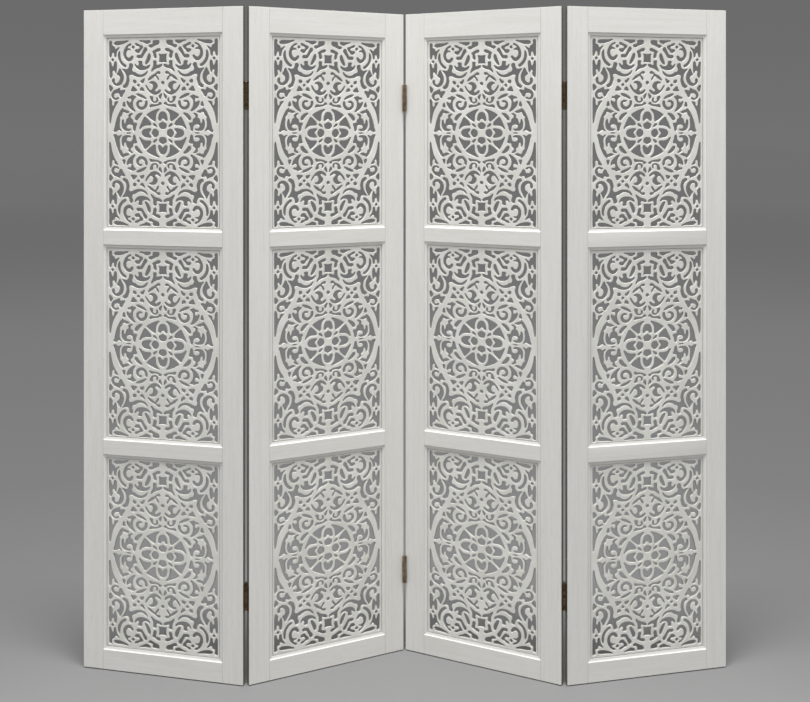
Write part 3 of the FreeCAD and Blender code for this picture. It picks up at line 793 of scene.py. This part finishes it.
    # the holes' rims: a ladder of lines swept round each hole, then each line set to its place on a quarter
    # round, the straight cut and a quarter round again
    rungs = calculated("ADD", calculated("MULTIPLY", given["Round steps"], 2), 2)
    strand = addNode(tree, "GeometryNodeResampleCurve", [(upward.outputs[0], 0), (rungs, "Count")])
    ladder = noted(strand.outputs[0], "rung", "FLOAT", addNode(tree, "GeometryNodeInputIndex").outputs[0])
    swept = addNode(tree, "GeometryNodeCurveToMesh", [(marked, 0), (ladder, 1)])
    middleRung = calculated("ADD", given["Round steps"], 0.5)
    fromMiddle = calculated("SUBTRACT", middleRung, recalled("rung", "FLOAT"))
    steps = calculated("SUBTRACT", calculated("ABSOLUTE", fromMiddle), 0.5)
    angle = calculated("MULTIPLY", calculated("DIVIDE", steps, given["Round steps"]), math.pi / 2)
    aside = calculated("MULTIPLY", radius, calculated("SUBTRACT", 1, calculated("COSINE", angle)))
    fall = calculated("MULTIPLY", radius, calculated("SUBTRACT", 1, calculated("SINE", angle)))
    height = calculated("MULTIPLY", calculated("SIGN", fromMiddle), calculated("SUBTRACT", half, fall))
    rise = addNode(tree, "ShaderNodeCombineXYZ", [(height, 2)])
    sideways = addNode(tree, "ShaderNodeVectorMath", [(recalled("linePlace", "FLOAT_VECTOR"), 0),
                                                      (scaled(intoWood, aside), 1)], operation="ADD")
    raised = addNode(tree, "ShaderNodeVectorMath", [(sideways.outputs[0], 0), (rise.outputs[0], 1)],
                     operation="ADD")
    rims = addNode(tree, "GeometryNodeSetPosition", [(swept.outputs[0], 0), (raised.outputs[0], 2)])
    tree.links.new(rims.outputs[0], parts.inputs[0])
    joined = addNode(tree, "GeometryNodeRealizeInstances", [(parts.outputs[0], 0)])
    painted = addNode(tree, "GeometryNodeSetMaterial", [(joined.outputs[0], 0), (given["Paint"], 2)])
    # the walls that stand square to the board are the sawn ones, which get the greyer paint as painted shade
    surface = addNode(tree, "GeometryNodeInputNormal")
    facing = addNode(tree, "ShaderNodeSeparateXYZ", [(surface.outputs[0], 0)])
    wallShadeMask = calculated("LESS_THAN", calculated("ABSOLUTE", facing.outputs[2]), fretwork["sawnTilt"])
    cut = addNode(tree, "GeometryNodeSetMaterial",
                  [(painted.outputs[0], 0), (wallShadeMask, 1), (given["Cut paint"], 2)])
    addNode(tree, "NodeGroupOutput", [(cut.outputs[0], 0)])
    return tree


def makeBoard(level, tree):
    drawing = {"quarterHoles": list(quarterHoles.values()),
               "uprightHoles": [wholeHole(half, -1, 1) for half in uprightHalves.values()],
               "levelHoles": [wholeHole(half, 1, -1) for half in levelHalves.values()]}
    curves = [bpy.data.objects.new(name, holeCurve(name, outlines)) for name, outlines in drawing.items()]
    for curve in curves:
        bpy.context.scene.collection.objects.link(curve)
    width, thickness, height = boardFrame(f"panel_1_{level}_fretwork")[1]
    board = applyTree(curves[0], tree, {
        "Upright holes": curves[1], "Level holes": curves[2], "Board width": width, "Board height": height,
        "Thickness": thickness, "Edge round": fretwork["edgeRound"] * mm, "Open by": fretwork["openBy"] * mm,
        "Least rib": fretwork["leastRib"] * mm, "Field drop": fretwork["fieldDrop"][level] * mm,
        "Tongue width": fretwork["tongueWidth"] * mm, "Tongue step": fretwork["tongueStep"] * mm,
        "Line steps": fretwork["lineSteps"], "Round steps": fretwork["roundSteps"],
        "Paint": fretPaint, "Cut paint": wallShadePaint})
    for curve in curves:
        bpy.data.objects.remove(curve)
    outward(board, same)
    for name in ("rounding", "intoWood", "linePlace", "rung"):
        if name in board.attributes:
            board.attributes.remove(board.attributes[name])
    dropEmptySlots(board)
    # from the drawing's x and y to across and up
    board.transform(Matrix.Rotation(math.radians(90), 4, "X"))
    return board


boardTree = fretTree()
for level in fretwork["fieldDrop"]:
    board = makeBoard(level, boardTree)
    for number in panelNumbers:
        body = f"panel_{number}"
        node = f"{body}_{level}_fretwork"
        mesh = board.copy()
        mesh.transform(boardFrame(node)[0])
        piece = linked(f"{node}_carved", mesh)
        dress(piece, body, node)
    print(level, "fretwork in place,", len(board.polygons), "faces in each board")


# Hinges: round knuckles on softened leaves, pins with low domed heads, and countersunk screws

hinge = {"knuckleRadius": 5.8, "roundPlay": 0.02, "innerShare": 0.9, "finerBy": 2, "easedEdge": 0.25,
         "easedSteps": 2, "leastArris": 30, "pinRadius": 2, "headRadius": 4.6, "headHeight": 1.15, "domeSteps": 4,
         "pinSides": 28, "frontSeam": 2}


def turned(name, profile, middle, sides):
    # a closed round body from radii and heights that begin and end on its upright axis
    corners, faces, rings = [], [], []
    for radius, height in profile:
        rings.append(range(len(corners), len(corners) + (sides if radius else 1)))
        angles = [math.tau * i / sides for i in range(len(rings[-1]))]
        corners += [(middle.x + radius * math.cos(angle), middle.y + radius * math.sin(angle), height)
                    for angle in angles]
    for lower, upper in zip(rings, rings[1:]):
        for i in range(sides):
            loop = (lower[i % len(lower)], lower[(i + 1) % len(lower)], upper[(i + 1) % len(upper)],
                    upper[i % len(upper)])
            faces.append(list(dict.fromkeys(loop)))
    mesh = bpy.data.meshes.new(name)
    mesh.from_pydata(corners, [], faces)
    outward(mesh)
    return mesh


def pinMesh(name, middle, low, high):
    dome = [(hinge["headRadius"] * mm * math.sin(math.pi / 2 * i / hinge["domeSteps"]),
             hinge["headHeight"] * mm * (1 - math.cos(math.pi / 2 * i / hinge["domeSteps"])))
            for i in range(hinge["domeSteps"] + 1)]
    shaft = hinge["pinRadius"] * mm
    lower = [(radius, low + rise) for radius, rise in dome] + [(shaft, low + dome[-1][1])]
    upper = [(shaft, high - dome[-1][1])] + [(radius, high - rise) for radius, rise in reversed(dome)]
    return turned(name, lower + upper, middle, hinge["pinSides"])


def leafMesh(node, middle):
    # the solid's many-sided knuckles made round, before all edges are eased
    mesh = mergedCopy(node)
    radius = hinge["knuckleRadius"] * mm

    def fromAxis(corner):
        return Vector((corner.co.x - middle.x, corner.co.y - middle.y, 0))

    def onBarrel(corner):
        return abs(fromAxis(corner).length - radius) < hinge["roundPlay"] * mm

    with editing(mesh) as work:
        chords = [e for e in work.edges if all(onBarrel(v) for v in e.verts)
                  and abs(e.verts[0].co.z - e.verts[1].co.z) < same]
        made = bmesh.ops.subdivide_edges(work, edges=chords, cuts=hinge["finerBy"], use_grid_fill=True)
        for corner in {i for i in made["geom_inner"] if isinstance(i, bmesh.types.BMVert)}:
            away = fromAxis(corner)
            if away.length > radius * hinge["innerShare"]:
                away = away.normalized() * radius
                corner.co.x, corner.co.y = middle.x + away.x, middle.y + away.y
    return mesh


for seam in seamNumbers:
    for level in ("upper", "lower"):
        base = f"seam_{seam}_{level}_hinge"
        low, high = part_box(f"{base}_pin")
        middle = Vector(((low[0] + high[0]) / 2, (low[1] + high[1]) / 2, 0))
        pin = linked(f"{base}_pin_headed", pinMesh(f"{base}_pin", middle, low[2], high[2]), pinBronze)
        dress(pin, f"panel_{seam}", f"{base}_pin")
        for side, body in (("left", f"panel_{seam}"), ("right", f"panel_{seam + 1}")):
            node = f"{base}_{side}_plate"
            leaf = linked(f"{node}_leaf", leafMesh(node, middle), hingeBronze)
            bevel = leaf.modifiers.new("eased", "BEVEL")
            bevel.width = hinge["easedEdge"] * mm
            bevel.segments = hinge["easedSteps"]
            bevel.limit_method = "ANGLE"
            bevel.angle_limit = math.radians(hinge["leastArris"])
            baked(leaf)
            dress(leaf, body, node)
print("hinges in place")


# Screws: three in each leaf, with a crossed recess, each row laid on the panel's edge

screws = {"radius": 2.7, "proud": 0.1, "depth": 0.9, "crossLength": 3, "crossWidth": 0.6, "crossDepth": 0.4,
          "secondNarrower": 0.96, "secondTaller": 1.1, "spacing": 25, "inEachLeaf": 3, "sides": 32,
          "towardsBarrel": 1, "spinSeed": 4}


def screwTree():
    tree, given = newTree("screw row", "Screws", {
        "Geometry": ["Row"], "Float": ["Radius", "Depth"], "Int": ["Sides"], "Material": ["Plating"],
        "Vector": ["Cross long", "Cross wide", "Cross lift", "Head drop"]})
    head = addNode(tree, "GeometryNodeMeshCylinder", [(given["Sides"], "Vertices"),
                                                      (given["Radius"], "Radius"), (given["Depth"], "Depth")])
    source = head.outputs[0]
    for size in ("Cross long", "Cross wide"):
        bar = addNode(tree, "GeometryNodeMeshCube", [(given[size], 0)])
        raised = addNode(tree, "GeometryNodeTransform",
                         [(bar.outputs[0], 0), (given["Cross lift"], "Translation")])
        source = addNode(tree, "GeometryNodeMeshBoolean", [(source, 0), (raised.outputs[0], 1)],
                         operation="DIFFERENCE").outputs[0]
    sunk = addNode(tree, "GeometryNodeTransform", [(source, 0), (given["Head drop"], "Translation")])
    spin = addNode(tree, "FunctionNodeRandomValue", data_type="FLOAT_VECTOR", in0=(0, 0, 0),
                   in1=(0, 0, math.pi / 2))
    spin.inputs["Seed"].default_value = screws["spinSeed"]
    row = addNode(tree, "GeometryNodeInstanceOnPoints",
                  [(given["Row"], 0), (sunk.outputs[0], 2), (spin.outputs[0], "Rotation")])
    real = addNode(tree, "GeometryNodeRealizeInstances", [(row.outputs[0], 0)])
    plated = addNode(tree, "GeometryNodeSetMaterial", [(real.outputs[0], 0), (given["Plating"], 2)])
    addNode(tree, "NodeGroupOutput", [(plated.outputs[0], 0)])
    return tree


def screwRow():
    # points along the row at the head's height, dressed with screws; the cross's second bar is a little
    # narrower and reaches deeper, so that the floors of the two cuts don't coincide
    count = screws["inEachLeaf"]
    points = bpy.data.meshes.new("screwRow")
    points.from_pydata([((i - (count - 1) / 2) * screws["spacing"] * mm, 0, 0) for i in range(count)], [], [])
    carrier = linked("screwRow", points)
    depth, length, width = (screws[name] * mm for name in ("depth", "crossLength", "crossWidth"))
    tall = 2 * screws["crossDepth"] * mm
    mesh = applyTree(carrier, screwTree(), {
        "Radius": screws["radius"] * mm, "Depth": depth, "Cross long": (length, width, tall),
        "Cross wide": (width * screws["secondNarrower"], length, tall * screws["secondTaller"]),
        "Cross lift": (0, 0, depth / 2), "Head drop": (0, 0, screws["proud"] * mm - depth / 2),
        "Sides": screws["sides"], "Plating": pinBronze})
    bpy.data.objects.remove(carrier)
    outward(mesh, merging)
    dropEmptySlots(mesh)
    return mesh


row = screwRow()
for number in panelNumbers:
    place, reach = panelFrame(number)
    work = bmesh.new()
    for seam, side, leafSide in ((number - 1, -1, "right"), (number, 1, "left")):
        if seam not in seamNumbers:
            continue
        # the barrel is before the front face at the middle seam and behind the back face at the others
        towards = -screws["towardsBarrel"] if seam == hinge["frontSeam"] else screws["towardsBarrel"]
        for level in ("upper", "lower"):
            low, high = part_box(f"seam_{seam}_{level}_hinge_{leafSide}_plate")
            spot = Matrix.Translation((side * reach.x, towards * mm, (low[2] + high[2]) / 2))
            laid = row.copy()
            laid.transform(place @ spot @ Matrix.Rotation(side * math.radians(90), 4, "Y"))
            work.from_mesh(laid)
    mesh = bpy.data.meshes.new(f"panel_{number}_hinge_screws")
    work.to_mesh(mesh)
    work.free()
    piece = linked(f"panel_{number}_hinge_screws", mesh, pinBronze)
    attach(piece, f"panel_{number}")
print("screws in place")


# Floor and backdrop: matt grey paper, lit by its own colour alone so that it doesn't tint the screen; the
# floor's colour holds a painted pool of light

stage = {"poolCentre": (0, -1500), "reach": 200000, "roughness": 0.95, "bounce": "6A6A69",
         "rings": [(1500, "797979"), (2070, "6C6C6C"), (2360, "686868"), (3600, "636363"), (5200, "676767"),
                   (8000, "727272"), (26000, "888888"), (60000, "8B8B8B")],
         "backdropLow": "727272", "backdropHigh": "6C6C6C", "backdropRise": 0.09, "glow": 0.63}


def floorWithPaintedPool():
    # matt seamless paper with painted light: a paler pool round the screen's front, darker a few metres out,
    # and paler and even towards the horizon
    material, tree, shader = newMaterial("matt_grey_paper", Roughness=stage["roughness"])
    place = addNode(tree, "ShaderNodeTexCoord")
    centre = (stage["poolCentre"][0] * mm, stage["poolCentre"][1] * mm, 0)
    distance = addNode(tree, "ShaderNodeVectorMath", [(place.outputs["Object"], 0)], operation="DISTANCE",
                       in1=centre)
    outermost = stage["rings"][-1][0]
    share = addNode(tree, "ShaderNodeMath", [(distance.outputs["Value"], 0)], operation="DIVIDE",
                    in1=outermost * mm)
    # painted light: the rings' greys are a pool of light and the shade beyond it, not the paper's own colour
    rings = addNode(tree, "ShaderNodeValToRGB", [(share.outputs[0], 0)],
                    [(radius / outermost, linear(colour)) for radius, colour in stage["rings"]])
    # what it throws back on the screen is a little darker than what the lens sees
    ray = addNode(tree, "ShaderNodeLightPath")
    colour = addNode(tree, "ShaderNodeMix", [(ray.outputs["Is Diffuse Ray"], 0), (rings.outputs[0], 6)],
                     data_type="RGBA", in7=linear(stage["bounce"]))
    feed(tree, shader, Base_Color=colour.outputs[2])
    return material


def makeFloor():
    reach = stage["reach"] * mm
    mesh = bpy.data.meshes.new("floor")
    corners = [(-reach, -reach, 0), (reach, -reach, 0), (reach, reach, 0), (-reach, reach, 0)]
    mesh.from_pydata(corners, [], [range(4)])
    linked("floor", mesh, floorWithPaintedPool())


makeFloor()


# Light: a high lamp for the mouldings' highlights and shadows, two weak nearer ones over the outer panels'
# tops, and an even glow from all round

lights = [
    {"name": "highLamp", "place": (0, -1700, 9000), "aim": (0, 0, 900), "size": (3000, 2000), "power": 1040},
    {"name": "leftNearLamp", "place": (-1400, -1300, 2900), "aim": (-500, 0, 1700), "size": (1300, 800),
     "power": 8},
    {"name": "rightNearLamp", "place": (1400, -1300, 2900), "aim": (500, 0, 1700), "size": (1300, 800),
     "power": 8}]
for item in lights:
    data = bpy.data.lights.new(item["name"], "AREA")
    data.shape = "RECTANGLE"
    data.size = item["size"][0] * mm
    data.size_y = item["size"][1] * mm
    data.energy = item["power"]
    lamp = bpy.data.objects.new(item["name"], data)
    bpy.context.scene.collection.objects.link(lamp)
    lamp.location = Vector(item["place"]) * mm
    direction = Vector(item["aim"]) - Vector(item["place"])
    lamp.rotation_euler = direction.to_track_quat("-Z", "Y").to_euler()


def makeWorld():
    # the lens, mirrors and glass see a grey backdrop, a little darker towards the top; everything else gets
    # an even glow
    world = bpy.data.worlds.new("studio")
    bpy.context.scene.world = world
    world.use_nodes = True
    tree = world.node_tree
    glow = tree.nodes["Background"]
    glow.inputs[0].default_value = (1, 1, 1, 1)
    glow.inputs[1].default_value = stage["glow"]
    look = addNode(tree, "ShaderNodeTexCoord")
    height = addNode(tree, "ShaderNodeSeparateXYZ", [(look.outputs["Generated"], 0)])
    rise = addNode(tree, "ShaderNodeMapRange", [(height.outputs[2], 0)], in1=0.0, in2=stage["backdropRise"])
    colour = addNode(tree, "ShaderNodeMix", [(rise.outputs[0], 0)], data_type="RGBA",
                     in6=linear(stage["backdropLow"]), in7=linear(stage["backdropHigh"]))
    backdrop = addNode(tree, "ShaderNodeBackground", [(colour.outputs[2], 0)], in1=1.0)
    ray = addNode(tree, "ShaderNodeLightPath")
    seen = ray.outputs["Is Camera Ray"]
    for other in ("Is Glossy Ray", "Is Transmission Ray"):
        seen = addNode(tree, "ShaderNodeMath", [(seen, 0), (ray.outputs[other], 1)],
                       operation="MAXIMUM").outputs[0]
    mix = addNode(tree, "ShaderNodeMixShader", [(seen, 0), (glow.outputs[0], 1), (backdrop.outputs[0], 2)])
    tree.links.new(mix.outputs[0], tree.nodes["World Output"].inputs[0])


makeWorld()
bpy.context.scene.view_settings.view_transform = "Standard"
print("stage and lights set")
